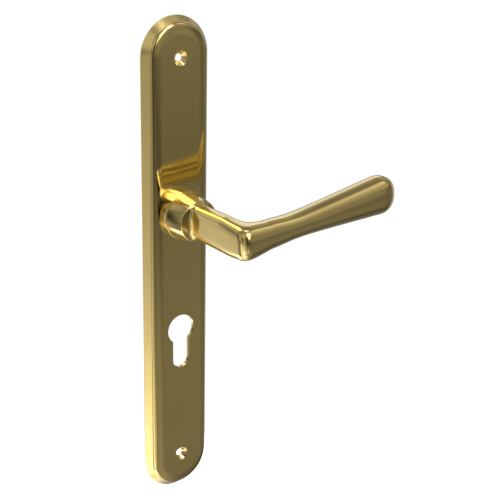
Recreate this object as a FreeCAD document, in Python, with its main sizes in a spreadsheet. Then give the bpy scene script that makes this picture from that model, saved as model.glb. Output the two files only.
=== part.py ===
import FreeCAD, Part
import math
import os
import re

import Sketcher

# Lever door handle on a long backplate with a euro-profile cut-out: one side of a door set.
# Frame: origin on the spindle axis in the door plane, which is the backplate's rear face,
# +X towards the end of the grip, -Y out from the door towards the user, +Z up. Millimetres.
# Depths are measured out from the door plane, so a depth of 5 lies at Y = -5.

SIZES = {
    # backplate: a shell with a sloped skirt and a raised panel with rounded edges
    "plate_width": 44.0,
    "upper_arc": 89.0,
    "lower_arc": 157.0,
    "plate_depth": 6.5,
    "wall": 2.0,
    "rim_lip": 0.5,
    "crease_width": 37.8,
    "crease_depth": 3.8,
    "shoulder_width": 36.6,
    "shoulder_depth": 5.6,
    "shoulder_round": 2.2,
    "panel_width": 30.0,
    "panel_round": 12.0,
    "inner_rim": 39.6,
    "inner_crease": 33.8,
    "inner_crease_depth": 3.3,
    "inner_panel": 31.2,
    # screw holes near both ends of the plate
    "screw_upper": 88.5,
    "screw_lower": 155.5,
    "screw_hole": 4.5,
    "countersink": 8.6,
    "screw_boss": 11.0,
    "boss_back": 3.6,
    # euro-profile cut-out
    "cylinder_drop": 72.0,
    "cylinder_circle": 17.8,
    "cylinder_slot": 10.9,
    "cylinder_height": 33.5,
    # collar that carries the lever on the plate
    "collar_width": 28.4,
    "collar_front": 12.65,
    "collar_wall": 2.2,
    "collar_cavity": 24.6,
    "collar_bore": 19.5,
    "collar_spigot": 26.4,
    "collar_back": 4.45,
    "collar_edge": 0.5,
    # nylon bushes in front and behind
    "front_bore": 18.1,
    "front_flange": 22.0,
    "flange_recess": 0.9,
    "flange_proud": 0.15,
    "rear_bore": 15.1,
    "rear_bush_width": 17.6,
    "bush_gap": 0.05,
    # lever hub with its spigot, journal and square socket
    "hub_gap": 0.1,
    "hub_back": 28.0,
    "hub_front": 24.0,
    "hub_shoulder": 24.5,
    "hub_edge": 0.8,
    "spigot": 18.0,
    "key_flats": 15.2,
    "journal": 15.0,
    "journal_end": 0.3,
    "ring_groove": 14.2,
    "groove_front": 1.35,
    "groove_back": 0.45,
    "square": 8.1,
    "square_depth": 24.0,
    # lever neck, bend and grip
    "neck_start": 19.0,
    "neck_width": 11.3,
    "neck_height": 19.4,
    "bend_height": 20.4,
    "corner_depth": 65.9,
    "lean": 1.5,
    "rise": 4.8,
    "bend_inner": 8.6,
    "bend_outer": 5.5,
    "bend_swell": 0.6,
    "bend_sink": 0.5,
    "root_width": 14.0,
    "root_height": 16.0,
    "waist_height": 14.0,
    "waist_station": 33.6,
    "belly_width": 18.0,
    "belly_height": 24.8,
    "belly_station": 112.2,
    "flare_ease": 0.15,
    "grip_length": 109.7,
    "end_length": 12.8,
    "end_power": 2.05,
    "neck_squareness": 3.6,
    "grip_squareness": 2.5,
    # clamping screw under the hub
    "grub_width": 6.0,
    "grub_hole": 6.06,
    "grub_length": 8.0,
    "grub_depth": 18.6,
    "grub_end": 4.4,
    "grub_key": 3.0,
    "grub_key_depth": 3.2,
    # stop cam and the bearing plate that closes the mechanism
    "cam_front": 4.15,
    "cam_thickness": 1.2,
    "cam_width": 25.2,
    "cam_gap": 0.05,
    "lobe_reach": 15.6,
    "lobe_width": 8.0,
    "bearing_front": 2.75,
    "bearing_thickness": 1.0,
    "bearing_width": 31.0,
    "bearing_height": 42.0,
    "bearing_corner": 4.0,
    "post_x": 12.2,
    "post_z": 16.6,
    "post_width": 5.0,
    "rivet_shank": 2.4,
    "rivet_head": 4.4,
    "rivet_head_depth": 1.15,
    "rivet_reach": 3.95,
    "stop_radius": 14.2,
    "stop_width": 2.4,
    "stop_front": 4.1,
    "stop_clearance": 0.3,
    "travel": 40.0,
    # return spring
    "spring_wire": 1.5,
    "spring_mean": 21.8,
    "spring_front": 9.4,
    "spring_height": 4.1,
    "spring_turns": 2.5,
    "front_leg": 1.9,
    "rear_leg": 2.2,
    "leg_hole": 1.6,
    "front_leg_hole": 1.05,
    # spring washer and retaining ring on the journal
    "washer_bore": 15.4,
    "washer_width": 19.2,
    "washer_front": 1.7,
    "washer_thickness": 0.2,
    "washer_rise": 0.2,
    "ring_bore": 14.3,
    "ring_width": 19.4,
    "ring_front": 1.25,
    "ring_thickness": 0.7,
    "ring_opening": 6.0,
    "lug_width": 3.4,
    "lug_radius": 9.2,
    "lug_spread": 4.4,
    "lug_eye": 1.4,
}

doc = FreeCAD.newDocument("lever_on_backplate")
sheet = doc.addObject("Spreadsheet::Sheet", "sizes")
for row, (alias, number) in enumerate(SIZES.items(), start=1):
    sheet.set(f"A{row}", alias)
    sheet.set(f"B{row}", str(number))
    sheet.setAlias(f"B{row}", alias)
doc.recompute()

nodes = []


# ---------------------------------------------------------------- helpers

def bound(text):
    """The expression with every size name pointed at the sheet."""

    def point(match):
        word = match.group()
        return "sizes." + word if word in SIZES else word

    return re.sub(r"[a-z][a-z_]*", point, text)


def value(text):
    """What the expression is worth with the sheet's present numbers."""
    return float(sheet.evalExpression(text))


def new_body(name):
    body = doc.addObject("PartDesign::Body", name)
    body.Label = name
    return body


def node(part):
    """Marks an object as one of the pieces that are written out."""
    nodes.append(part)
    return part


def new_sketch(body, name, role, offset="0"):
    """A sketch on one of the body's own origin planes, moved along that plane's normal."""
    support = next(plane for plane in body.Origin.OriginFeatures if plane.Role == role)
    sketch = body.newObject("Sketcher::SketchObject", name)
    sketch.AttachmentSupport = [(support, "")]
    sketch.MapMode = "FlatFace"
    sketch.setExpression("AttachmentOffset.Base.z", bound(offset))
    return sketch


def pin_point(sketch, curve, end, x, y):
    """Holds one point of a curve at x, y from the sketch's origin."""
    for kind, axis, text in (("DistanceX", -2, x), ("DistanceY", -1, y)):
        if text == "0":
            sketch.addConstraint(Sketcher.Constraint("PointOnObject", curve, end, axis))
            continue
        index = sketch.addConstraint(Sketcher.Constraint(kind, -1, 1, curve, end, value(text)))
        sketch.setExpression(f"Constraints[{index}]", bound(text))


def outline(sketch, corners):
    """A closed run of straight edges. Each corner is a pair of expressions."""
    points = [FreeCAD.Vector(value(x), value(y), 0) for x, y in corners]
    count = len(points)
    for index in range(count):
        sketch.addGeometry(Part.LineSegment(points[index], points[(index + 1) % count]))
    for index in range(count):
        sketch.addConstraint(Sketcher.Constraint("Coincident", index, 2, (index + 1) % count, 1))
    for index, (x, y) in enumerate(corners):
        pin_point(sketch, index, 1, x, y)


def circles(sketch, diameter, *centres):
    for x, y in centres:
        centre = FreeCAD.Vector(value(x), value(y), 0)
        round_edge = Part.Circle(centre, FreeCAD.Vector(0, 0, 1), value(diameter) / 2)
        curve = sketch.addGeometry(round_edge)
        pin_point(sketch, curve, 3, x, y)
        index = sketch.addConstraint(Sketcher.Constraint("Diameter", curve, value(diameter)))
        sketch.setExpression(f"Constraints[{index}]", bound(diameter))


def pad(body, name, sketch, length, reverse=False):
    feature = body.newObject("PartDesign::Pad", name)
    feature.Profile = sketch
    feature.Reversed = reverse
    feature.setExpression("Length", bound(length))
    doc.recompute()
    return feature


def pocket(body, name, sketch, length, reverse=False):
    """A cut, which has to take material away."""
    before = body.Shape.Volume
    feature = body.newObject("PartDesign::Pocket", name)
    feature.Profile = sketch
    feature.Reversed = reverse
    feature.setExpression("Length", bound(length))
    doc.recompute()
    if body.Shape.Volume >= before - 1e-6:
        raise RuntimeError(f"{name} cuts nothing")
    return feature


def revolve(body, name, sketch, angle=360.0, reverse=False):
    """Turns a sketch about its own vertical axis."""
    feature = body.newObject("PartDesign::Revolution", name)
    feature.Profile = sketch
    feature.ReferenceAxis = (sketch, ["V_Axis"])
    feature.Angle = angle
    feature.Reversed = reverse
    doc.recompute()
    return feature


def turned(name, corners):
    """A ring or shaft turned about the spindle axis, from its half section in X and Y."""
    body = new_body(name)
    section = new_sketch(body, name + "_section", "XY_Plane")
    outline(section, corners)
    revolve(body, name + "_turning", section)
    return body


def primitive(kind, name, **sizes):
    """A Part primitive or boolean whose named properties are bound to the sheet."""
    part = doc.addObject(kind, name)
    for key, text in sizes.items():
        part.setExpression(key.replace("_", "."), bound(text))
    return part


def place(part, x="0", y="0", z="0"):
    for axis, text in (("x", x), ("y", y), ("z", z)):
        part.setExpression("Placement.Base." + axis, bound(text))
    return part


# ---------------------------------------------------------------- backplate

SKIRT = [
    ("plate_width / 2", "0"),
    ("plate_width / 2", "-rim_lip"),
    ("crease_width / 2", "-crease_depth"),
    ("shoulder_width / 2", "-shoulder_depth"),
    ("panel_width / 2", "-plate_depth"),
]
INSIDE = [
    ("inner_panel / 2", "-(plate_depth - wall)"),
    ("inner_crease / 2", "-inner_crease_depth"),
    ("inner_rim / 2", "0"),
]
POSTS = [(x, z) for x in ("post_x", "-post_x") for z in ("post_z", "-post_z")]
SCREWS = [("0", "screw_upper"), ("0", "-screw_lower")]
SLOT_END = "-(cylinder_drop - cylinder_circle / 2 + cylinder_height - cylinder_slot / 2)"


def mirrored(corners):
    return [("-" + x, y) for x, y in reversed(corners)]


def round_loop(body, name, depth, radius):
    """Rounds the closed run of edges that lies at one depth all the way round the plate."""
    blank = body.Tip
    level = -value(depth)
    loop = [
        f"Edge{index}"
        for index, line in enumerate(blank.Shape.Edges, start=1)
        if abs(line.BoundBox.YMax - level) < 1e-3 and abs(line.BoundBox.YMin - level) < 1e-3
    ]
    edge = body.newObject("PartDesign::Fillet", name)
    edge.Base = (blank, loop)
    edge.setExpression("Radius", bound(radius))
    doc.recompute()


def make_backplate():
    body = node(new_body("backplate"))
    section = new_sketch(body, "plate_section", "XY_Plane", "-lower_arc")
    outline(section, SKIRT + mirrored(SKIRT) + mirrored(INSIDE) + INSIDE)
    pad(body, "plate_run", section, "upper_arc + lower_arc")
    middle = [("0", "-plate_depth"), ("0", "-(plate_depth - wall)")]
    for name, arc, reverse in (("upper_end", "upper_arc", True), ("lower_end", "-lower_arc", False)):
        half = new_sketch(body, name + "_section", "XY_Plane", arc)
        outline(half, SKIRT + middle + INSIDE)
        revolve(body, name, half, 180.0, reverse)

    round_loop(body, "panel_rounding", "plate_depth", "panel_round")
    round_loop(body, "shoulder_rounding", "shoulder_depth", "shoulder_round")

    posts = new_sketch(body, "post_layout", "XZ_Plane", "bearing_front")
    circles(posts, "post_width", *POSTS)
    pad(body, "bearing_posts", posts, "plate_depth - wall / 2 - bearing_front")
    bosses = new_sketch(body, "boss_layout", "XZ_Plane", "boss_back")
    circles(bosses, "screw_boss", *SCREWS)
    pad(body, "screw_bosses", bosses, "plate_depth - wall / 2 - boss_back")
    rivet_holes = new_sketch(body, "rivet_hole_layout", "XZ_Plane", "bearing_front")
    circles(rivet_holes, "rivet_shank", *POSTS)
    pocket(body, "rivet_holes", rivet_holes, "rivet_reach - bearing_front", True)

    for name, diameter, x, z in (
        ("collar_hole", "collar_spigot", "0", "0"),
        ("cylinder_hole", "cylinder_circle", "0", "-cylinder_drop"),
        ("slot_end", "cylinder_slot", "0", SLOT_END),
    ):
        layout = new_sketch(body, name + "_layout", "XZ_Plane")
        circles(layout, diameter, (x, z))
        pocket(body, name, layout, "plate_depth + wall", True)
    slot = new_sketch(body, "slot_layout", "XZ_Plane")
    outline(slot, [
        ("cylinder_slot / 2", "-cylinder_drop"),
        ("-cylinder_slot / 2", "-cylinder_drop"),
        ("-cylinder_slot / 2", SLOT_END),
        ("cylinder_slot / 2", SLOT_END),
    ])
    pocket(body, "cylinder_slot_cut", slot, "plate_depth + wall", True)

    screws = new_sketch(body, "screw_layout", "XZ_Plane", "plate_depth")
    circles(screws, "screw_hole", *SCREWS)
    doc.recompute()
    before = body.Shape.Volume
    hole = body.newObject("PartDesign::Hole", "screw_holes")
    hole.Profile = screws
    hole.DepthType = "ThroughAll"
    hole.HoleCutType = "Countersink"
    hole.HoleCutCountersinkAngle = 90.0
    hole.setExpression("Diameter", bound("screw_hole"))
    hole.setExpression("HoleCutDiameter", bound("countersink"))
    doc.recompute()
    if body.Shape.Volume >= before - 1e-6:
        raise RuntimeError("the screw holes cut nothing")


# ---------------------------------------------------------------- collar, bushes, bearing plate

def make_collar():
    body = node(turned("boss_collar", [
        ("collar_spigot / 2", "-collar_back"),
        ("collar_spigot / 2", "-plate_depth"),
        ("collar_width / 2", "-plate_depth"),
        ("collar_width / 2", "-(collar_front - collar_edge)"),
        ("collar_width / 2 - collar_edge", "-collar_front"),
        ("front_flange / 2 + bush_gap", "-collar_front"),
        ("front_flange / 2 + bush_gap", "-(collar_front - flange_recess)"),
        ("collar_bore / 2", "-(collar_front - flange_recess)"),
        ("collar_bore / 2", "-(collar_front - collar_wall)"),
        ("collar_cavity / 2", "-(collar_front - collar_wall)"),
        ("collar_cavity / 2", "-collar_back"),
    ]))
    hole = new_sketch(body, "spring_leg_layout", "XZ_Plane", "collar_front - collar_wall")
    circles(hole, "leg_hole", ("spring_mean / 2", "0"))
    pocket(body, "spring_leg_hole", hole, "front_leg_hole", True)


def make_bushes():
    node(turned("front_bush", [
        ("front_bore / 2", "-(collar_front + flange_proud)"),
        ("front_flange / 2", "-(collar_front + flange_proud)"),
        ("front_flange / 2", "-(collar_front - flange_recess)"),
        ("collar_bore / 2 - bush_gap", "-(collar_front - flange_recess)"),
        ("collar_bore / 2 - bush_gap", "-(collar_front - collar_wall)"),
        ("front_bore / 2", "-(collar_front - collar_wall)"),
    ]))
    node(turned("rear_bush", [
        ("rear_bore / 2", "-bearing_front"),
        ("rear_bush_width / 2 - bush_gap", "-bearing_front"),
        ("rear_bush_width / 2 - bush_gap", "-(bearing_front - bearing_thickness)"),
        ("rear_bore / 2", "-(bearing_front - bearing_thickness)"),
    ]))


STOP_ANGLE = (
    "(travel / 2 * 1deg + asin((lobe_width / 2 + stop_width / 2 + stop_clearance) / stop_radius))"
)
STOPS = [(sign + f"stop_radius * sin({STOP_ANGLE})", f"-stop_radius * cos({STOP_ANGLE})") for sign in ("", "-")]


def make_bearing_plate():
    rear = "bearing_front - bearing_thickness"
    body = node(new_body("bearing_plate"))
    blank = new_sketch(body, "bearing_blank", "XZ_Plane", rear)
    outline(blank, [
        (sign_x + "bearing_width / 2" + trim_x, sign_z + "bearing_height / 2" + trim_z)
        for sign_x, sign_z, trim_x, trim_z in (
            ("", "", "", " - bearing_corner"),
            ("", "", " - bearing_corner", ""),
            ("-", "", " + bearing_corner", ""),
            ("-", "", "", " - bearing_corner"),
            ("-", "-", "", " + bearing_corner"),
            ("-", "-", " + bearing_corner", ""),
            ("", "-", " - bearing_corner", ""),
            ("", "-", "", " + bearing_corner"),
        )
    ])
    pad(body, "bearing_sheet", blank, "bearing_thickness")
    for name, diameter, centres in (
        ("rear_bush_hole", "rear_bush_width", [("0", "0")]),
        ("bearing_rivet_holes", "rivet_shank", POSTS),
        ("stop_pin_holes", "stop_width", STOPS),
    ):
        layout = new_sketch(body, name + "_layout", "XZ_Plane", rear)
        circles(layout, diameter, *centres)
        pocket(body, name, layout, "bearing_thickness", True)


def make_pins_and_rivets():
    rear = "bearing_front - bearing_thickness"
    stops = node(new_body("stop_pins"))
    layout = new_sketch(stops, "stop_layout", "XZ_Plane", rear)
    circles(layout, "stop_width", *STOPS)
    pad(stops, "stop_shanks", layout, f"stop_front - ({rear})")

    rivets = node(new_body("bearing_rivets"))
    heads = new_sketch(rivets, "rivet_head_layout", "XZ_Plane", "rivet_head_depth")
    circles(heads, "rivet_head", *POSTS)
    pad(rivets, "rivet_heads", heads, f"{rear} - rivet_head_depth")
    shanks = new_sketch(rivets, "rivet_shank_layout", "XZ_Plane", "rivet_head_depth")
    circles(shanks, "rivet_shank", *POSTS)
    pad(rivets, "rivet_shanks", shanks, "rivet_reach - rivet_head_depth")


# ---------------------------------------------------------------- lever

def soft_step(share):
    """0 to 1 with level ends."""
    share = min(max(share, 0.0), 1.0)
    return share * share * (3 - 2 * share)


def between(start, stop, share):
    return start + (stop - start) * share


def widening(share, ease):
    """0 to 1, level at first and then steady."""
    return (math.hypot(share, ease) - ease) / (math.hypot(1, ease) - ease)


def oval(centre, across, half_width, half_height, squareness):
    """A closed superellipse wire upright in Z, with its width along the flat direction across."""
    points = []
    count = 32
    for index in range(count):
        turn = 2 * math.pi * index / count
        cosine, sine = math.cos(turn), math.sin(turn)
        reach = (abs(cosine) ** squareness + abs(sine) ** squareness) ** (-1 / squareness)
        sideways = across * (cosine * reach * half_width)
        points.append(centre + sideways + FreeCAD.Vector(0, 0, sine * reach * half_height))
    curve = Part.BSplineCurve()
    knots = [index / count for index in range(count + 1)]
    curve.interpolate(Points=points, PeriodicFlag=True, Parameters=knots)
    return Part.Wire([curve.toShape()])


def bend_geometry():
    """The corner where the neck's and the grip's centrelines meet, the grip's direction,
    and the pivot that the bend's sections fan out from."""
    lean = math.radians(value("lean"))
    grip = FreeCAD.Vector(math.cos(lean), math.sin(lean), 0)
    corner = FreeCAD.Vector(0, -value("corner_depth"), 0)
    neck_inside = FreeCAD.Vector(1, 0, 0)
    grip_inside = FreeCAD.Vector(-grip.y, grip.x, 0)
    pivot_x = value("neck_width / 2 + bend_inner")
    along = (value("root_width / 2 + bend_inner") - grip_inside.x * pivot_x) / grip_inside.y
    pivot = corner + neck_inside * pivot_x + FreeCAD.Vector(0, along, 0)
    return corner, grip, neck_inside, grip_inside, pivot


def outer_reach(pivot, ray, corner, neck_inside, grip_inside):
    """How far a ray from the pivot runs to the bend's outside: two flat sides and a round corner."""
    sides = ((neck_inside, value("neck_width / 2")), (grip_inside, value("root_width / 2")))
    flats = [(normal.dot(corner - pivot) - half) / normal.dot(ray) for normal, half in sides
             if abs(normal.dot(ray)) > 1e-6]
    reach = min(length for length in flats if length > 0)
    radius = value("bend_outer")
    centre_x = radius - value("neck_width / 2")
    centre_y = (radius - value("root_width / 2") - grip_inside.x * centre_x) / grip_inside.y
    centre = corner + FreeCAD.Vector(centre_x, centre_y, 0)
    offset = pivot - centre
    along = offset.dot(ray)
    inside = along * along - offset.dot(offset) + radius * radius
    if inside > 0:
        round_reach = math.sqrt(inside) - along
        touch = offset + ray * round_reach
        if neck_inside.dot(touch) <= 0 and grip_inside.dot(touch) <= 0:
            reach = round_reach
    return reach


def neck_ovals(pivot):
    """Sections from inside the hub to the start of the bend."""
    start, stop = -value("neck_start"), pivot.y
    across = FreeCAD.Vector(-1, 0, 0)
    for index in range(4):
        share = index / 4
        centre = FreeCAD.Vector(0, between(start, stop, share), 0)
        height = between(value("neck_height"), value("bend_height"), share)
        yield oval(centre, across, value("neck_width / 2"), height / 2, value("neck_squareness"))


def bend_ovals(corner, neck_inside, grip_inside, pivot):
    """Sections that fan round the bend's pivot."""
    first = math.pi
    last = math.atan2(-grip_inside.y, -grip_inside.x) + 2 * math.pi
    count = 8
    for index in range(count + 1):
        share = index / count
        turn = between(first, last, share)
        ray = FreeCAD.Vector(math.cos(turn), math.sin(turn), 0)
        near = value("bend_inner")
        far = outer_reach(pivot, ray, corner, neck_inside, grip_inside)
        bulge = math.sin(math.pi * share)
        height = between(value("bend_height"), value("root_height"), share) / 2
        centre = pivot + ray * ((near + far) / 2) - FreeCAD.Vector(0, 0, value("bend_sink") * bulge)
        squareness = between(value("neck_squareness"), value("grip_squareness"), soft_step(share))
        yield oval(centre, ray, (far - near) / 2, height + value("bend_swell") * bulge, squareness)


def grip_ovals(corner, grip, grip_inside, pivot):
    """Sections along the grip: a waist, a flare to the belly and a rounded end."""
    start, stop = (pivot - corner).dot(grip), value("grip_length")
    waist, belly, end = value("waist_station"), value("belly_station"), value("end_length")
    stations = [between(start, stop - end, index / 10) for index in range(1, 11)]
    stations += [stop - end + end * share for share in (0.3, 0.55, 0.75, 0.88, 0.96, 0.995)]
    for station in stations:
        if station < waist:
            share = soft_step((station - start) / (waist - start))
            height = between(value("root_height"), value("waist_height"), share)
        else:
            share = widening((station - waist) / (belly - waist), value("flare_ease"))
            height = between(value("waist_height"), value("belly_height"), share)
        width = between(value("root_width"), value("belly_width"),
                        soft_step((station - start) / (belly - start)))
        past = max((station - (stop - end)) / end, 0.0)
        taper = math.sqrt(1 - past ** value("end_power"))
        yield oval(corner + grip * station, grip_inside * -1, width / 2 * taper, height / 2 * taper,
                   value("grip_squareness"))


def make_shank():
    """Neck, bend and grip as one smooth loft, turned a little about the spindle so that the grip
    rises towards its end. Its sections turn and change shape together, so they are worked out
    here from the sheet."""
    corner, grip, neck_inside, grip_inside, pivot = bend_geometry()
    sections = list(neck_ovals(pivot))
    sections += bend_ovals(corner, neck_inside, grip_inside, pivot)
    sections += grip_ovals(corner, grip, grip_inside, pivot)
    shank = doc.addObject("Part::Feature", "shank")
    shank.Shape = Part.makeLoft(sections, True, False)
    shank.Placement.Rotation = FreeCAD.Rotation(FreeCAD.Vector(0, 1, 0), -value("rise"))
    return shank


def make_hub():
    """Cone of the hub, spigot through the collar, journal in the rear bush, groove for the ring."""
    back = "-(collar_front + flange_proud + hub_gap)"
    cam_rear = "-(cam_front - cam_thickness)"
    return turned("hub", [
        ("0", "-journal_end"),
        ("journal / 2", "-journal_end"),
        ("journal / 2", "-groove_back"),
        ("ring_groove / 2", "-groove_back"),
        ("ring_groove / 2", "-groove_front"),
        ("journal / 2", "-groove_front"),
        ("journal / 2", cam_rear),
        ("spigot / 2", cam_rear),
        ("spigot / 2", back),
        ("hub_back / 2", back),
        ("hub_front / 2", "-(hub_shoulder - hub_edge)"),
        ("hub_front / 2 - hub_edge", "-hub_shoulder"),
        ("0", "-hub_shoulder"),
    ])


def make_lever():
    body = doc.addObject("Part::MultiFuse", "lever_blank")
    body.Shapes = [make_hub(), make_shank()]
    socket = place(
        primitive("Part::Box", "square_socket", Length="square", Width="square_depth", Height="square"),
        "-square / 2", "-square_depth", "-square / 2",
    )
    grub_hole = place(
        primitive("Part::Cylinder", "grub_hole", Radius="grub_hole / 2", Height="hub_back / 2"),
        "0", "-grub_depth", "-hub_back / 2",
    )
    flat_depth = "cam_front + cam_gap"
    flats = []
    near, far, middle = "key_flats / 2", "-key_flats / 2 - spigot", "-spigot / 2"
    for name, x, z in (
        ("right_flat", near, middle),
        ("left_flat", far, middle),
        ("upper_flat", middle, near),
        ("lower_flat", middle, far),
    ):
        block = primitive("Part::Box", name, Length="spigot", Width=flat_depth, Height="spigot")
        flats.append(place(block, x, f"-({flat_depth})", z))
    cuts = doc.addObject("Part::MultiFuse", "lever_cuts")
    cuts.Shapes = [socket, grub_hole] + flats
    lever = doc.addObject("Part::Cut", "lever_handle")
    lever.Base = body
    lever.Tool = cuts
    lever.Label = "lever_handle"
    node(lever)


def make_grub_screw():
    screw = place(
        primitive("Part::Cylinder", "grub_blank", Radius="grub_width / 2", Height="grub_length"),
        "0", "-grub_depth", "-(grub_end + grub_length)",
    )
    key = place(
        primitive("Part::Prism", "grub_key_socket", Circumradius="grub_key / sqrt(3)", Height="grub_key_depth"),
        "0", "-grub_depth", "-(grub_end + grub_length)",
    )
    key.Polygon = 6
    grub = doc.addObject("Part::Cut", "grub_screw")
    grub.Base = screw
    grub.Tool = key
    grub.Label = "grub_screw"
    node(grub)


# ---------------------------------------------------------------- return mechanism

def make_stop_cam():
    """Disc with a square bore on the spigot's four flats, and one lobe that swings between the
    stop pins."""
    rear = "cam_front - cam_thickness"
    body = node(new_body("stop_cam"))
    disc = new_sketch(body, "cam_disc_layout", "XZ_Plane", rear)
    circles(disc, "cam_width", ("0", "0"))
    pad(body, "cam_disc", disc, "cam_thickness")

    lobe = new_sketch(body, "cam_lobe_layout", "XZ_Plane", rear)
    tilt = "(travel / 2 * 1deg)"
    corners = []
    for reach, side in (("spigot / 2", "-"), ("lobe_reach", "-"), ("lobe_reach", ""), ("spigot / 2", "")):
        half = f"{side}lobe_width / 2"
        corners.append((f"{reach} * sin{tilt} + ({half}) * cos{tilt}",
                        f"-{reach} * cos{tilt} + ({half}) * sin{tilt}"))
    outline(lobe, corners)
    pad(body, "cam_lobe", lobe, "cam_thickness")

    bore = new_sketch(body, "cam_bore_layout", "XZ_Plane", rear)
    half_bore = "key_flats / 2 + cam_gap"
    outline(bore, [
        (half_bore, half_bore),
        (f"-({half_bore})", half_bore),
        (f"-({half_bore})", f"-({half_bore})"),
        (half_bore, f"-({half_bore})"),
    ])
    pocket(body, "cam_bore", bore, "cam_thickness", True)

    leg = new_sketch(body, "cam_leg_layout", "XZ_Plane", rear)
    circles(leg, "leg_hole", ("-spring_mean / 2", "0"))
    pocket(body, "cam_leg_hole", leg, "cam_thickness", True)


def make_spring():
    """Torsion spring round the spigot, with an end leg in the collar and one in the stop cam."""
    body = node(new_body("return_spring"))
    wire = new_sketch(body, "spring_wire_section", "XY_Plane")
    circles(wire, "spring_wire", ("spring_mean / 2", "-spring_front"))
    coil = body.newObject("PartDesign::AdditiveHelix", "spring_coil")
    coil.Profile = wire
    coil.ReferenceAxis = (wire, ["V_Axis"])
    coil.Mode = "height-turns-angle"
    coil.setExpression("Height", bound("spring_height"))
    coil.setExpression("Turns", bound("spring_turns"))
    doc.recompute()
    for name, depth, x, length, reverse in (
        ("front_leg_wire", "spring_front", "spring_mean / 2", "front_leg", False),
        ("rear_leg_wire", "spring_front - spring_height", "-spring_mean / 2", "rear_leg", True),
    ):
        section = new_sketch(body, name + "_section", "XZ_Plane", depth)
        circles(section, "spring_wire", (x, "0"))
        pad(body, name, section, length, reverse)


def make_washer_and_ring():
    node(turned("spring_washer", [
        ("washer_bore / 2", "-washer_front"),
        ("washer_width / 2", "-(washer_front - washer_rise)"),
        ("washer_width / 2", "-(washer_front - washer_rise - washer_thickness)"),
        ("washer_bore / 2", "-(washer_front - washer_thickness)"),
    ]))

    rear = "ring_front - ring_thickness"
    ring = node(new_body("retaining_ring"))
    disc = new_sketch(ring, "ring_layout", "XZ_Plane", rear)
    circles(disc, "ring_width", ("0", "0"))
    pad(ring, "ring_disc", disc, "ring_thickness")
    lugs = new_sketch(ring, "lug_layout", "XZ_Plane", rear)
    circles(lugs, "lug_width", ("lug_spread", "lug_radius"), ("-lug_spread", "lug_radius"))
    pad(ring, "ring_lugs", lugs, "ring_thickness")
    bore = new_sketch(ring, "ring_bore_layout", "XZ_Plane", rear)
    circles(bore, "ring_bore", ("0", "0"))
    pocket(ring, "ring_bore_cut", bore, "ring_thickness", True)
    gap = new_sketch(ring, "ring_gap_layout", "XZ_Plane", rear)
    outline(gap, [
        ("ring_opening / 2", "ring_bore / 4"),
        ("ring_opening / 2", "ring_width"),
        ("-ring_opening / 2", "ring_width"),
        ("-ring_opening / 2", "ring_bore / 4"),
    ])
    pocket(ring, "ring_gap", gap, "ring_thickness", True)
    eyes = new_sketch(ring, "eye_layout", "XZ_Plane", rear)
    circles(eyes, "lug_eye", ("lug_spread", "lug_radius"), ("-lug_spread", "lug_radius"))
    pocket(ring, "ring_eyes", eyes, "ring_thickness", True)


# ---------------------------------------------------------------- build, check and write

make_backplate()
make_collar()
make_bushes()
make_bearing_plate()
make_pins_and_rivets()
make_lever()
make_grub_screw()
make_stop_cam()
make_spring()
make_washer_and_ring()
doc.recompute()

for item in doc.Objects:
    if "Invalid" in item.State or "Error" in item.State:
        raise RuntimeError(f"{item.Label} failed: {item.State}")
for part in nodes:
    if part.Shape.isNull() or not part.Shape.isValid():
        raise RuntimeError(f"{part.Label} has no valid shape")

os.makedirs("parts", exist_ok=True)
for part in nodes:
    part.Shape.exportStep(f"parts/{part.Label}.step")
    box = part.Shape.BoundBox
    print(
        f"{part.Label:16s} solids {len(part.Shape.Solids)} volume {part.Shape.Volume:9.1f}"
        f"  x {box.XMin:7.2f} {box.XMax:7.2f}  y {box.YMin:7.2f} {box.YMax:7.2f}"
        f"  z {box.ZMin:7.2f} {box.ZMax:7.2f}"
    )
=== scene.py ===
import math

import bmesh
import bpy
from mathutils import Matrix, Vector


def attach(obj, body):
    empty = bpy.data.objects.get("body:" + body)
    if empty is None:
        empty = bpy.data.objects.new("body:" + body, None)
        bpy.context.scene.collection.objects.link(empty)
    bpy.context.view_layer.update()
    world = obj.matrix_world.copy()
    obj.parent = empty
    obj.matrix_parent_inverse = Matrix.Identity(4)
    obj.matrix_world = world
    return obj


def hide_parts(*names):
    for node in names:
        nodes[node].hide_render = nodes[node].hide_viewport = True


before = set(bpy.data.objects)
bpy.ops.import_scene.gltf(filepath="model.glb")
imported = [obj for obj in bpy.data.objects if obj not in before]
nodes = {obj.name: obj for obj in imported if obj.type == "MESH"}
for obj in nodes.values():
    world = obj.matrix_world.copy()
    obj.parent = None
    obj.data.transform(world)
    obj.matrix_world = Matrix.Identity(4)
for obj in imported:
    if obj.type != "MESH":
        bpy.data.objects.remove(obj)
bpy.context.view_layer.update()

scene = bpy.context.scene
scene.view_settings.view_transform = "Standard"


# ---------------------------------------------------------------- materials

def new_material(name):
    material = bpy.data.materials.new(name)
    material.use_nodes = True
    tree = material.node_tree
    return material, tree, tree.nodes["Principled BSDF"]


def add(tree, kind, **settings):
    made = tree.nodes.new(kind)
    for key, item in settings.items():
        if key in made.inputs:
            made.inputs[key].default_value = item
        else:
            setattr(made, key, item)
    return made


def grain(tree, scale, stretch=(1, 1, 1), detail=3.0, roughness=0.55):
    """Noise in the part's own coordinates, stretched along its axes."""
    place = add(tree, "ShaderNodeTexCoord")
    mapping = add(tree, "ShaderNodeMapping")
    mapping.inputs["Scale"].default_value = stretch
    noise = add(tree, "ShaderNodeTexNoise", Scale=scale, Detail=detail, Roughness=roughness)
    tree.links.new(place.outputs["Object"], mapping.inputs["Vector"])
    tree.links.new(mapping.outputs["Vector"], noise.inputs["Vector"])
    return noise.outputs["Fac"]


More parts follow.
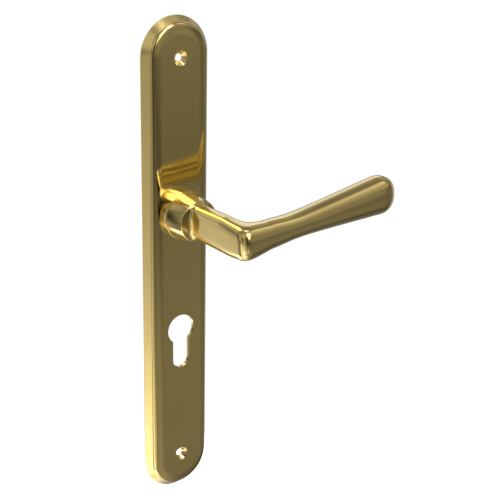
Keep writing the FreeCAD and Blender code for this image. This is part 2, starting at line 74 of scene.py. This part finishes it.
def ramp(tree, value, *stops):
    """Colours or grey levels along a 0 to 1 value."""
    made = add(tree, "ShaderNodeValToRGB")
    elements = made.color_ramp.elements
    while len(elements) < len(stops):
        elements.new(0.5)
    for element, (place, colour) in zip(elements, stops):
        element.position = place
        element.color = (*colour, 1) if isinstance(colour, tuple) else (colour, colour, colour, 1)
    tree.links.new(value, made.inputs["Fac"])
    return made.outputs["Color"]


def bump(tree, shader, height, strength, distance):
    """Fine relief from a grey value. The distance is in metres."""
    made = add(tree, "ShaderNodeBump", Strength=strength, Distance=distance)
    tree.links.new(height, made.inputs["Height"])
    tree.links.new(made.outputs["Normal"], shader.inputs["Normal"])


def brass(name, brush, low, high, tones, coat=0.9):
    """Lacquered brass with a cloudy colour between two tones.

    Its grain is stretched by brush, and its roughness runs from low to high along that grain.
    """
    material, tree, shader = new_material(name)
    shader.inputs["Metallic"].default_value = 1.0
    shader.inputs["Coat Weight"].default_value = coat
    shader.inputs["Coat Roughness"].default_value = 0.04
    clouds = grain(tree, 38.0, detail=4.0)
    colour = ramp(tree, clouds, (0.3, tones[0]), (0.7, tones[1]))
    tree.links.new(colour, shader.inputs["Base Color"])
    lines = grain(tree, 900.0, brush, detail=5.0, roughness=0.7)
    tree.links.new(ramp(tree, lines, (0.35, low), (0.7, high)), shader.inputs["Roughness"])
    bump(tree, shader, lines, 0.12, 0.00002)
    return material


def plain_steel(name, tones, rough):
    """Bare or plated steel, spotted between a light and a dark tone."""
    light, dark = tones
    material, tree, shader = new_material(name)
    shader.inputs["Metallic"].default_value = 1.0
    spots = grain(tree, 420.0, detail=6.0)
    tree.links.new(ramp(tree, spots, (0.3, dark), (0.65, light)), shader.inputs["Base Color"])
    tree.links.new(ramp(tree, spots, (0.3, rough), (0.7, rough * 0.6)), shader.inputs["Roughness"])
    bump(tree, shader, spots, 0.2, 0.00003)
    return material


def nylon(name):
    material, tree, shader = new_material(name)
    shader.inputs["Subsurface Weight"].default_value = 0.2
    shader.inputs["Subsurface Radius"].default_value = (0.002, 0.0018, 0.0014)
    cloudy = grain(tree, 260.0, detail=5.0)
    colour = ramp(tree, cloudy, (0.3, (0.78, 0.76, 0.69)), (0.7, (0.86, 0.85, 0.80)))
    tree.links.new(colour, shader.inputs["Base Color"])
    tree.links.new(ramp(tree, cloudy, (0.3, 0.42), (0.7, 0.52)), shader.inputs["Roughness"])
    bump(tree, shader, cloudy, 0.15, 0.00004)
    return material


# Two tones of each metal.
GOLD = ((0.79, 0.585, 0.185), (0.83, 0.625, 0.21))
PALE_GOLD = ((0.93, 0.70, 0.24), (0.97, 0.74, 0.27))
DULL_BRASS = ((0.62, 0.43, 0.17), (0.74, 0.53, 0.22))
ZINC = ((0.66, 0.67, 0.69), (0.50, 0.52, 0.55))
BRIGHT = ((0.68, 0.68, 0.70), (0.55, 0.55, 0.57))
SPRING = ((0.42, 0.42, 0.44), (0.26, 0.26, 0.28))
BLACK = ((0.13, 0.13, 0.14), (0.07, 0.07, 0.08))
UPRIGHT = (1.0, 1.0, 0.03)      # brushed along the plate
materials = {
    "backplate": brass("plate_brass", UPRIGHT, 0.05, 0.08, GOLD),
    "boss_collar": brass("collar_brass", (0.1, 1, 0.1), 0.09, 0.15, GOLD),
    "lever_handle": brass("lever_brass", (0.2, 1, 1), 0.12, 0.19, GOLD),
    "bearing_rivets": brass("rivet_brass", (1, 1, 1), 0.25, 0.4, DULL_BRASS, coat=0.0),
    "front_bush": nylon("bush_nylon"),
    "rear_bush": nylon("bush_nylon_rear"),
    "bearing_plate": plain_steel("zinc_steel", ZINC, 0.42),
    "stop_cam": plain_steel("zinc_steel_cam", ZINC, 0.42),
    "stop_pins": plain_steel("bright_steel", BRIGHT, 0.3),
    "return_spring": plain_steel("spring_steel", SPRING, 0.35),
    "spring_washer": plain_steel("spring_steel_washer", SPRING, 0.35),
    "retaining_ring": plain_steel("dark_steel", BLACK, 0.4),
    "grub_screw": plain_steel("dark_steel_screw", BLACK, 0.35),
}
skirt_brass = brass("skirt_brass", UPRIGHT, 0.16, 0.26, PALE_GOLD)
for name, material in materials.items():
    part = nodes[name]
    part.data.materials.clear()
    part.data.materials.append(material)


# ---------------------------------------------------------------- shapes
# Sizes are in millimetres, in the frame of the part: X along the grip, -Y out from the door, Z up.
# A depth is a distance out from the door, so it is -Y.

PANEL, BEHIND = 6.5, 4.5                    # depths of the plate's face and of the wall's back
PLATE_TOP, PLATE_BOTTOM = 89.0, -157.0      # centres of the plate's round ends
SCREWS = (88.5, -155.5)                     # heights of the screw holes
SKIRT_FROM = 18.6                           # the brushed skirt lies further than this from the middle line
COLLAR_SEAT = 13.2                          # radius of the collar's seat in the plate
GRUB_RADIUS, GRUB_DEPTH = 3.03, 18.6        # the grub screw's hole under the hub
TURNED = 144                                # steps round a turned part
SHELL_SHARP = 24                            # the shell's edges are sharp from this angle


def to_mesh(name, loops, open_start=False, open_end=False):
    """A skin through closed loops of equal count. Its ends are capped unless left open."""
    count = len(loops[0])
    points = [Vector(point) / 1000 for loop in loops for point in loop]
    faces = []
    for row in range(len(loops) - 1):
        near, far = row * count, (row + 1) * count
        for k in range(count):
            nxt = (k + 1) % count
            faces.append((near + k, near + nxt, far + nxt, far + k))
    for shut, row in ((not open_start, 0), (not open_end, len(loops) - 1)):
        if shut:
            points.append(sum((Vector(point) for point in loops[row]), Vector()) / count / 1000)
            tip = len(points) - 1
            faces += [(row * count + k, row * count + (k + 1) % count, tip) for k in range(count)]
    mesh = bpy.data.meshes.new(name)
    mesh.from_pydata(points, [], faces)
    return tidy_mesh(mesh)


def tidy_mesh(mesh, angle=32):
    """Welds a mesh, turns its faces outwards and shades it smooth up to an angle."""
    work = bmesh.new()
    work.from_mesh(mesh)
    bmesh.ops.remove_doubles(work, verts=work.verts, dist=1e-7)
    bmesh.ops.recalc_face_normals(work, faces=work.faces)
    work.to_mesh(mesh)
    work.free()
    mesh.shade_smooth()
    mesh.set_sharp_from_angle(angle=math.radians(angle))
    return mesh


def piece(name, mesh, body, slot, *stands_for):
    """Adds a visible piece that rides on a body and replaces the CAD nodes it stands for."""
    made = bpy.data.objects.new(name, mesh)
    scene.collection.objects.link(made)
    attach(made, body)
    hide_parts(*stands_for)
    return made


def soft_step(share):
    share = min(max(share, 0.0), 1.0)
    return share * share * (3 - 2 * share)


def between(start, stop, share):
    return start + (stop - start) * share


def oval(centre, across, half_width, half_height, squareness, count=112):
    """Superellipse loop, upright in Z, with its width along the flat direction across."""
    loop = []
    for k in range(count):
        cosine, sine = math.cos(math.tau * k / count), math.sin(math.tau * k / count)
        reach = (abs(cosine) ** squareness + abs(sine) ** squareness) ** (-1 / squareness)
        wide, tall = cosine * reach * half_width, sine * reach * half_height
        loop.append(centre + across * wide + Vector((0, 0, tall)))
    return loop


# The lever's shank: a neck out from the hub, a bend, and a grip that leans to the door and rises a little.
LEAN = math.radians(1.5)
RISE = Matrix.Rotation(math.radians(-4.8), 3, "Y")
NECK = 5.65                                 # half the neck's width
ROOT, BELLY = 7.0, 9.0                      # half the grip's thickness at the bend and towards its end
INNER, OUTER = 8.6, 5.5                     # the bend's radii
NECK_SQUARE, GRIP_SQUARE = 3.6, 2.5         # how square the sections are
HUB_TALL, NECK_TALL, GRIP_TALL, WAIST_TALL, END_TALL = 9.7, 10.2, 8.0, 7.0, 12.4    # half heights along the way
NECK_FROM = 19                              # depth at which the neck is HUB_TALL
WAIST, FLARED = 33.6, 112.2                 # along the grip from the corner: its lowest place, and END_TALL
GRIP = Vector((math.cos(LEAN), math.sin(LEAN), 0))
NECK_IN = Vector((1, 0, 0))
GRIP_IN = Vector((-GRIP.y, GRIP.x, 0))
CORNER = Vector((0, -65.9, 0))
PIVOT = CORNER + Vector((NECK + INNER, (ROOT + INNER - GRIP_IN.x * (NECK + INNER)) / GRIP_IN.y, 0))
ROUND = CORNER + Vector((OUTER - NECK, (OUTER - ROOT - GRIP_IN.x * (OUTER - NECK)) / GRIP_IN.y, 0))


def bend_reach(ray):
    """How far a ray from the pivot runs to the outside of the bend."""
    flats = [(side.dot(CORNER - PIVOT) - half) / side.dot(ray)
             for side, half in ((NECK_IN, NECK), (GRIP_IN, ROOT)) if abs(side.dot(ray)) > 1e-6]
    reach = min(length for length in flats if length > 0)
    offset = PIVOT - ROUND
    along = offset.dot(ray)
    inside = along * along - offset.dot(offset) + OUTER * OUTER
    if inside > 0:
        touch = offset + ray * (math.sqrt(inside) - along)
        if NECK_IN.dot(touch) <= 0 and GRIP_IN.dot(touch) <= 0:
            reach = math.sqrt(inside) - along
    return reach


def neck_loop(depth, flare=0.0):
    """Section of the neck, which flare widens where it meets the hub."""
    tall = between(HUB_TALL, NECK_TALL, (depth - NECK_FROM) / (-PIVOT.y - NECK_FROM))
    return oval(Vector((0, -depth, 0)), -NECK_IN, NECK + 2.8 * flare, tall + 1.3 * flare, NECK_SQUARE)


def shank_loops():
    """Neck with a filleted root on the hub, the bend, the flared grip and its rounded end."""
    loops = []
    shoulder, fillet = 24.45, 3.0
    for k in range(14):
        turn = math.pi / 2 * k / 13
        loops.append(neck_loop(fillet * (1 - math.cos(turn)) + shoulder, 1 - math.sin(turn)))
    for k in range(1, 18):
        loops.append(neck_loop(between(shoulder + fillet, -PIVOT.y, k / 18)))
    last = math.atan2(-GRIP_IN.y, -GRIP_IN.x) + math.tau
    for k in range(57):
        share = k / 56
        turn = between(math.pi, last, share)
        ray = Vector((math.cos(turn), math.sin(turn), 0))
        reach = bend_reach(ray)
        bulge = math.sin(math.pi * share)
        centre = PIVOT + ray * ((reach + INNER) / 2) - Vector((0, 0, 0.5 * bulge))
        loops.append(oval(centre, ray, (reach - INNER) / 2, between(NECK_TALL, GRIP_TALL, share) + 0.6 * bulge,
                          between(NECK_SQUARE, GRIP_SQUARE, soft_step(share))))
    # The grip runs from first to stop, and its end is rounded over the last few millimetres.
    first, stop, end = (PIVOT - CORNER).dot(GRIP), 109.7, 12.8
    stations = [between(first, stop - end, k / 90) for k in range(1, 91)]
    stations += [stop - end + end * math.sin(math.pi / 2 * k / 26) for k in range(1, 26)]
    for station in stations:
        if station < WAIST:
            height = between(GRIP_TALL, WAIST_TALL, soft_step((station - first) / (WAIST - first)))
        else:
            height = between(WAIST_TALL, END_TALL, widening((station - WAIST) / (FLARED - WAIST)))
        width = between(ROOT, BELLY, soft_step((station - first) / (FLARED - first)))
        past = max((station - stop + end) / end, 0.0)
        taper = math.sqrt(1 - past ** 2.05)
        loops.append(oval(CORNER + GRIP * station, -GRIP_IN, width * taper, height * taper, GRIP_SQUARE))
    return [[RISE @ point for point in loop] for loop in loops]


def widening(share, ease=0.15):
    """0 to 1 along the grip, level at first and then steady."""
    return (math.hypot(share, ease) - ease) / (math.hypot(1, ease) - ease)


def ring(radius, depth, squareness=2.0):
    return oval(Vector((0, -depth, 0)), NECK_IN, radius, radius, squareness, TURNED)


def rounded(corners, radii, steps):
    """A run of (radius, depth) points. Corner k is rounded to radii[k]."""
    run = [corners[0]]
    for k in range(1, len(corners) - 1):
        here, before, after = (Vector(corners[j]) for j in (k, k - 1, k + 1))
        size = radii.get(k, 0)
        if not size:
            run.append(corners[k])
            continue
        a, b = (before - here).normalized(), (after - here).normalized()
        half = a.angle(b) / 2
        centre = here + (a + b).normalized() * (size / math.sin(half))
        start = here + a * (size / math.tan(half)) - centre
        stop = here + b * (size / math.tan(half)) - centre
        swing = start.angle_signed(stop)
        for j in range(steps + 1):
            turn = -swing * j / steps
            run.append((centre.x + start.x * math.cos(turn) - start.y * math.sin(turn),
                        centre.y + start.x * math.sin(turn) + start.y * math.cos(turn)))
    run.append(corners[-1])
    return run


def hub_mesh():
    """The conical hub and its spigot, with the square socket for the spindle."""
    corners = [(0.5, 24.5), (12.0, 24.5), (14.0, 12.9), (9.0, 12.9), (9.0, 2.95), (7.5, 2.95), (7.5, 1.35),
               (7.1, 1.35), (7.1, 0.45), (7.5, 0.45), (7.5, 0.3), (5.8, 0.3)]
    loops = [ring(radius, depth) for radius, depth in rounded(corners, {1: 0.8, 2: 0.2}, 8)]
    loops += [ring(4.05, depth, 30.0) for depth in (0.3, 24.0)]
    return to_mesh("lever_hub", loops)


def collar_mesh():
    corners = [(12.3, 4.45), (COLLAR_SEAT, 4.45), (COLLAR_SEAT, PANEL), (14.2, PANEL), (14.2, 12.65),
               (11.05, 12.65), (11.05, 11.75), (9.75, 11.75), (9.75, 10.45), (12.3, 10.45), (12.3, 4.45)]
    loops = [ring(radius, depth) for radius, depth in rounded(corners, {4: 0.45, 5: 0.1}, 8)]
    return to_mesh("boss_collar_ring", loops, open_start=True, open_end=True)


def stadium(half_width, depth):
    """Loop round the plate at one distance from its middle line."""
    turns = [math.pi * k / 72 for k in range(72)]
    shares = [k / 60 for k in range(60)]
    loop = [(half_width * math.cos(turn), PLATE_TOP + half_width * math.sin(turn)) for turn in turns]
    loop += [(-half_width, between(PLATE_TOP, PLATE_BOTTOM, share)) for share in shares]
    loop += [(-half_width * math.cos(turn), PLATE_BOTTOM - half_width * math.sin(turn)) for turn in turns]
    loop += [(half_width, between(PLATE_BOTTOM, PLATE_TOP, share)) for share in shares]
    return [Vector((x, -depth, z)) for x, z in loop]


def disc(z, radius, depth, count=64):
    """Loop round a hole whose centre is at a height on the plate's middle line."""
    turns = [math.tau * k / count for k in range(count)]
    return [Vector((radius * math.cos(turn), -depth, z + radius * math.sin(turn))) for turn in turns]


def profile_hole(grow, depth):
    """Outline of the euro-profile cut-out, grown all round: a circle above a slot with a round end."""
    radius, slot, top, end = 8.9 + grow, 5.45 + grow, -72.0, -91.15
    neck = math.asin(slot / radius)
    turns = [between(-math.pi / 2 + neck, 1.5 * math.pi - neck, k / 72) for k in range(73)]
    loop = [(radius * math.cos(turn), top + radius * math.sin(turn)) for turn in turns]
    throat = top - radius * math.cos(neck)
    half_turn = [math.pi * k / 40 for k in range(41)]
    loop += [(-slot, between(throat, end, k / 12)) for k in range(1, 12)]
    loop += [(-slot * math.cos(turn), end - slot * math.sin(turn)) for turn in half_turn]
    loop += [(slot, between(end, throat, k / 12)) for k in range(1, 12)]
    return [Vector((x, -depth, z)) for x, z in loop]


def sheet_between(work, outline, holes):
    """Fills the flat face between loops that lie in one plane: an outline and its holes."""
    edges = []
    for loop in [outline] + holes:
        verts = [work.verts.new(Vector(point) / 1000) for point in loop]
        edges += [work.edges.new((verts[k - 1], verts[k])) for k in range(len(verts))]
    bmesh.ops.triangle_fill(work, use_beauty=True, use_dissolve=False, edges=edges)


def backplate_mesh():
    """The pressed shell: rim, brushed skirt, crease, rounded edge, panel with its holes, and the inside."""
    work = bmesh.new()
    flat, hollow = 11.7, 14.0
    outside = rounded([(22.0, 0.0), (22.0, 0.5), (18.9, 3.8), (18.3, 5.5), (14.4, PANEL), (flat, PANEL)],
                      {1: 0.12, 2: 0.35, 3: 2.2, 4: 20.0}, 16)
    inside = rounded([(22.0, 0.0), (19.8, 0.0), (16.9, 3.3), (15.6, BEHIND), (hollow, BEHIND)],
                     {1: 0.1, 2: 0.4, 3: 0.3}, 6)
    countersink = rounded([(4.7, PANEL), (4.5, PANEL), (4.3, PANEL), (2.25, 4.45), (2.25, 3.6), (5.5, 3.6),
                           (5.5, BEHIND)], {2: 0.2, 5: 0.3}, 4)
    cut_out = rounded([(0.5, PANEL), (0.35, PANEL), (0.0, PANEL), (0.0, BEHIND)], {2: 0.25}, 5)
    rivet_post = rounded([(1.2, 3.9), (1.2, 2.75), (2.5, 2.75), (2.5, 5.2)], {2: 0.25}, 4)
    skins = [
        [stadium(width, depth) for width, depth in outside],
        [stadium(width, depth) for width, depth in inside],
    ]
    for z in SCREWS:
        skins.append([disc(z, radius, depth) for radius, depth in countersink])
    skins.append([profile_hole(grow, depth) for grow, depth in cut_out])
    for x, z in ((12.2, 16.6), (12.2, -16.6), (-12.2, 16.6), (-12.2, -16.6)):
        skins.append([[point + Vector((x, 0, 0)) for point in disc(z, radius, depth)]
                      for radius, depth in rivet_post])
    for loops in skins:
        rows = [[work.verts.new(point / 1000) for point in loop] for loop in loops]
        for near, far in zip(rows, rows[1:]):
            for k in range(len(near)):
                work.faces.new((near[k - 1], near[k], far[k], far[k - 1]))
    for width, depth, screw, grow in ((flat, PANEL, 4.7, 0.5), (hollow, BEHIND, 5.5, 0.0)):
        holes = [disc(z, screw, depth) for z in SCREWS] + [profile_hole(grow, depth)]
        sheet_between(work, stadium(width, depth), holes)
    mesh = bpy.data.meshes.new("backplate_shell")
    work.to_mesh(mesh)
    work.free()
    return tidy_mesh(mesh, SHELL_SHARP)


def spring_loops(start, stop, front=False, rear=False):
    """Wire of the return spring between two places on its 900 degrees, with the end legs asked for."""
    whole, wire = 900, 0.75
    radius, bend = 10.9, 0.9
    first, last = 9.4, 5.3
    edge = math.degrees(bend / radius)
    quarter = [math.pi / 2 * k / 6 for k in range(7)]
    path = []
    if front:
        path += [(0, between(11.3, first + bend, k / 3)) for k in range(3)]
        path += [(edge * (1 - math.cos(turn)), first + bend * (1 - math.sin(turn))) for turn in quarter[:-1]]
        start = edge
    if rear:
        stop = whole - edge
    count = round((stop - start) / 6)
    for k in range(count + 1):
        turn = between(start, stop, k / count)
        path.append((turn, between(first, last, (turn - edge) / (whole - 2 * edge))))
    if rear:
        path += [(stop + edge * math.sin(turn), last - bend * (1 - math.cos(turn))) for turn in quarter[1:]]
        path += [(whole, between(last - bend, 3.1, k / 3)) for k in range(1, 4)]
    angles = [math.radians(turn) for turn, depth in path]
    outward = [Vector((math.cos(angle), 0, -math.sin(angle))) for angle in angles]
    middle = [out * radius - Vector((0, depth, 0)) for out, (turn, depth) in zip(outward, path)]
    around = [math.tau * j / 16 for j in range(16)]
    loops = []
    for k, (out, centre) in enumerate(zip(outward, middle)):
        along = (middle[min(k + 1, len(middle) - 1)] - middle[max(k - 1, 0)]).normalized()
        over = along.cross(out)
        loops.append([centre + (out * math.cos(angle) + over * math.sin(angle)) * wire for angle in around])
    return loops


def bore(part, loops, angle=32):
    """Cuts the closed shape between the loops out of a piece."""
    cutter = bpy.data.objects.new("cutter", to_mesh("cutter", loops))
    scene.collection.objects.link(cutter)
    cut = part.modifiers.new("bore", "BOOLEAN")
    cut.operation = "DIFFERENCE"
    cut.object = cutter
    bpy.context.view_layer.update()
    bored = part.evaluated_get(bpy.context.evaluated_depsgraph_get())
    bored = bpy.data.meshes.new_from_object(bored)
    part.modifiers.clear()
    part.data = tidy_mesh(bored, angle)
    bpy.data.objects.remove(cutter)


lever_shank = piece("lever_shank", to_mesh("lever_shank", shank_loops(), open_start=True), "lever",
                    "lever_brass", "lever_handle")
lever_hub = piece("lever_hub", hub_mesh(), "lever", "lever_brass", "lever_handle")
collar = piece("collar_ring", collar_mesh(), "plate", "collar_brass", "boss_collar")
shell = piece("backplate_shell", backplate_mesh(), "plate", "plate_brass", "backplate")
# The spring's coil stays with the plate and its rear leg turns with the cam. The two overlap, so no gap opens.
spring_coil = piece("spring_coil", to_mesh("spring_coil", spring_loops(0, 845, front=True)), "plate",
                    "spring_steel", "return_spring")
spring_tail = piece("spring_tail", to_mesh("spring_tail", spring_loops(800, 900, rear=True)), "lever",
                    "spring_steel", "return_spring")
bore(lever_hub, [[Vector((point.x, -GRUB_DEPTH + point.z, height)) for point in disc(0, GRUB_RADIUS, 0)]
                 for height in (-16.0, -3.5)])
bore(shell, [disc(0, COLLAR_SEAT, depth, TURNED) for depth in (3.5, 8.0)], SHELL_SHARP)
for made, name in ((lever_shank, "lever_handle"), (lever_hub, "lever_handle"), (collar, "boss_collar"),
                   (shell, "backplate"), (spring_coil, "return_spring"), (spring_tail, "return_spring")):
    made.data.materials.append(materials[name])
shell.data.materials.append(skirt_brass)
for face in shell.data.polygons:
    middle = face.center * 1000
    beyond = middle.z - min(max(middle.z, PLATE_BOTTOM), PLATE_TOP)
    if math.hypot(middle.x, beyond) > SKIRT_FROM:
        face.material_index = 1


# ---------------------------------------------------------------- studio

def direction(azimuth, elevation):
    """Unit vector. Azimuth 0 is towards the user (-Y), 90 towards +X."""
    a, e = math.radians(azimuth), math.radians(elevation)
    return Vector((math.sin(a) * math.cos(e), -math.cos(a) * math.cos(e), math.sin(e)))


# Soft round panels in rows round the part: a row's height, the spread of its panels, and their levels at even
# steps of azimuth from the part's front round by its right. Angles are in degrees. The levels were set by
# comparing the render's brightness with the photograph's, first by a least-squares fit and then one by one.
ROWS = (
    (80, 32, (0, 0, 0.21)),
    (56, 30, (0.3, 0.22, 0.2, 0, 0.3, 0, 0.1, 0.14)),
    (32, 28, (0.36, 0.1, 0.35, 0, 0.3, 0.1, 0.43, 0.37, 0.15, 0.21, 0.45, 0)),
    (8, 28, (0.11, 0.2, 0.06, 0.05, 0.25, 0, 0, 0.26, 0.42, 0, 0.3, 0, 0.16, 0.01)),
    (-16, 28, (0.03, 0.05, 0.1, 0.08, 0.29, 0.16, 0.29, 0.39, 0.58, 0, 0.22, 0.12, 0.24, 0)),
    (-42, 32, (0.22, 0.13, 0, 0.16, 0.02, 0.67, 0.14, 0.12, 0.35, 0.12)),
    (-72, 34, (0.07, 0.08, 0.18, 0.52, 0.57)),
)
# Small bright panels: azimuth, height, spread, level.
SPOTS = (
    (-1, 43, 10, 4.5),
    (-15, 41, 9, 4.0),
    (20, 37, 9, 3.5),
    (2, 19, 16, 2.0),
    (16, 51, 11, 4.0),
    (0, 59, 11, 4.5),
    (62, 50, 13, 0.3),
    (112, 80, 14, 1.6),
    (142, 20, 16, 0.85),
    (-166, 55, 16, 2.6),
    (-92, -34, 15, 1.0),
    (-62, -38, 14, 1.5),
    (-36, -36, 11, 0.7),
    (-14, -32, 9, 0.7),
    (-40, -60, 16, 0.7),
    (-152, -50, 16, 3.4),
    (-80, -54, 16, 1.2),
)


def dome(tree):
    """One light strength for every direction, from all the soft panels."""
    panels = [(360 * k / len(levels), height, spread, level)
              for height, spread, levels in ROWS for k, level in enumerate(levels)]
    where = add(tree, "ShaderNodeTexCoord").outputs["Generated"]
    total = None
    for azimuth, height, spread, level in panels + list(SPOTS):
        if not level:
            continue
        facing = add(tree, "ShaderNodeVectorMath", operation="DOT_PRODUCT")
        facing.inputs[1].default_value = direction(azimuth, height)
        tree.links.new(where, facing.inputs[0])
        glow = add(tree, "ShaderNodeMapRange", interpolation_type="SMOOTHSTEP")
        glow.inputs["From Min"].default_value = math.cos(math.radians(spread))
        glow.inputs["To Max"].default_value = level
        tree.links.new(facing.outputs["Value"], glow.inputs["Value"])
        if total is None:
            total = glow.outputs["Result"]
            continue
        both = add(tree, "ShaderNodeMath", operation="ADD")
        tree.links.new(total, both.inputs[0])
        tree.links.new(glow.outputs["Result"], both.inputs[1])
        total = both.outputs["Value"]
    return total


def softbox(name, azimuth, elevation, distance, size, power):
    """A large square lamp that polished metal doesn't mirror."""
    light = bpy.data.lights.new(name, "AREA")
    light.shape = "RECTANGLE"
    light.size = light.size_y = size
    light.energy = power
    lamp = bpy.data.objects.new(name, light)
    scene.collection.objects.link(lamp)
    towards = direction(azimuth, elevation)
    lamp.location = towards * distance
    lamp.rotation_euler = towards.to_track_quat("Z", "Y").to_euler()
    lamp.visible_camera = False
    lamp.visible_glossy = False


world = bpy.data.worlds.new("studio")
scene.world = world
world.use_nodes = True
sky = world.node_tree
sky.nodes.clear()
# The part is lit by the dome, and the camera sees a plain pale backdrop behind it.
room = add(sky, "ShaderNodeBackground", Color=(1, 1, 1, 1))
sky.links.new(dome(sky), room.inputs["Strength"])
backdrop = add(sky, "ShaderNodeBackground", Color=(1, 1, 1, 1), Strength=1.05)
light_path = add(sky, "ShaderNodeLightPath")
mix = add(sky, "ShaderNodeMixShader")
out = add(sky, "ShaderNodeOutputWorld")
sky.links.new(light_path.outputs["Is Camera Ray"], mix.inputs["Fac"])
sky.links.new(room.outputs["Background"], mix.inputs[1])
sky.links.new(backdrop.outputs["Background"], mix.inputs[2])
sky.links.new(mix.outputs["Shader"], out.inputs["Surface"])

FLOOR_HEIGHT, FLOOR_RADIUS = -1.10, 1.7
floor_edge = []
for k in range(96):
    angle = math.tau * k / 96
    floor_edge.append((FLOOR_RADIUS * math.cos(angle), FLOOR_RADIUS * math.sin(angle), FLOOR_HEIGHT))
floor_mesh = bpy.data.meshes.new("floor")
floor_mesh.from_pydata(floor_edge, [], [tuple(range(len(floor_edge)))])
floor = bpy.data.objects.new("floor", floor_mesh)
scene.collection.objects.link(floor)
pale, pale_tree, pale_shader = new_material("pale_floor")
pale_shader.inputs["Roughness"].default_value = 0.9
pale_shader.inputs["Emission Color"].default_value = (1, 1, 1, 1)
pale_shader.inputs["Emission Strength"].default_value = 0.75
pale_grain = ramp(pale_tree, grain(pale_tree, 6.0), (0.3, 0.86), (0.7, 0.9))
pale_tree.links.new(pale_grain, pale_shader.inputs["Base Color"])
floor_mesh.materials.append(pale)
floor.visible_glossy = False

softbox("key", -10, 62, 2.2, 1.2, 40)
softbox("fill", -95, 25, 2.4, 1.4, 22)
softbox("back", 150, 45, 2.4, 1.2, 18)


# ---------------------------------------------------------------- camera

# One camera fitted to the photograph. Its place is in metres.
camera_data = bpy.data.cameras.new("camera")
camera_data.sensor_width = 36.0
camera_data.lens = 84.888
camera = bpy.data.objects.new("camera", camera_data)
scene.collection.objects.link(camera)
turn = Matrix.Rotation(math.radians(-38.196), 4, "Z")
tilt = Matrix.Rotation(math.radians(90 - 20.52), 4, "X")
roll = Matrix.Rotation(math.radians(1.197), 4, "Z")
camera.matrix_world = Matrix.Translation((-0.360445, -0.528654, 0.215545)) @ turn @ tilt @ roll
scene.camera = camera
